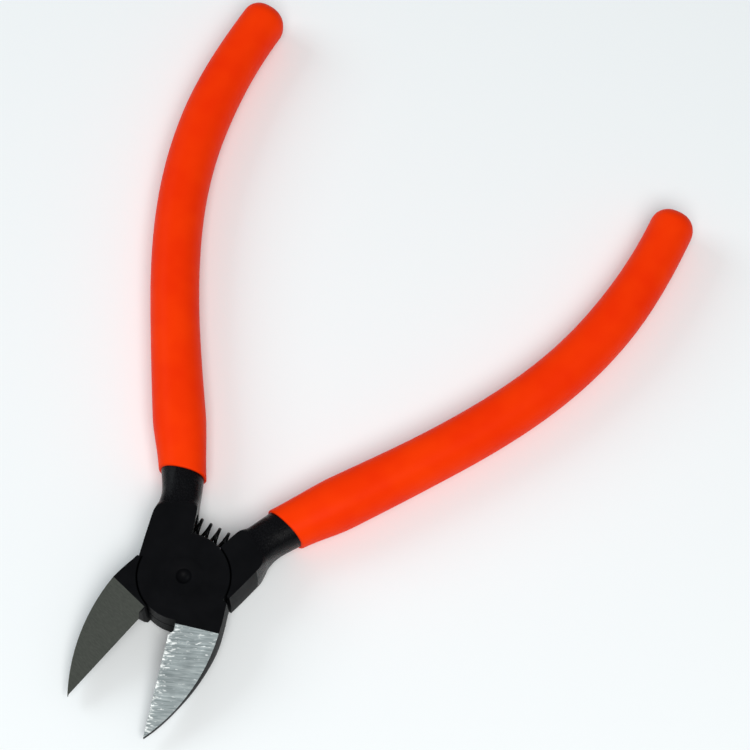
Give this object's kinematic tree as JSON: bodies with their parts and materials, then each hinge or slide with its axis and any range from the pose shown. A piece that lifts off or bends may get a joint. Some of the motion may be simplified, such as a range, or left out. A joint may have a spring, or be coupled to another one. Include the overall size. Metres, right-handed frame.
{
  "type": "diagonal cutting pliers",
  "caption": "Flush-cutting diagonal pliers with a lap joint, slim tapered blades, a coil return spring and long curved dipped grips.",
  "frame": {"origin": "on the pivot axis, at the flat underside of the head", "axes": "+Z along the pivot axis towards the ground faces of the blades, +Y from the pivot towards the blade tips between the open jaws, +X to the right"},
  "size_m": [0.1, 0.14, 0.0108],
  "materials": {
    "black_steel": "black oxide on forged steel, blades ground bright",
    "spring_steel": "blackened spring wire",
    "grip_vinyl": "satin dipped vinyl"
  },
  "bodies": {
    "lower_handle": {"lower_half": "black_steel", "lower_grip": "grip_vinyl", "pivot_rivet": "black_steel", "return_spring": "spring_steel"},
    "upper_handle": {"upper_half": "black_steel", "upper_grip": "grip_vinyl"}
  },
  "joints": [
    {"name": "jaw_hinge", "type": "hinge", "parent": "lower_handle", "child": "upper_handle", "pos_m": [0, 0, 0.0041], "axis": [0, 0, -1], "range_deg": [0, 31], "stiffness_Nm_per_rad": 0.16, "springref_deg": -7.45, "deforming": ["return_spring"]}
  ]
}
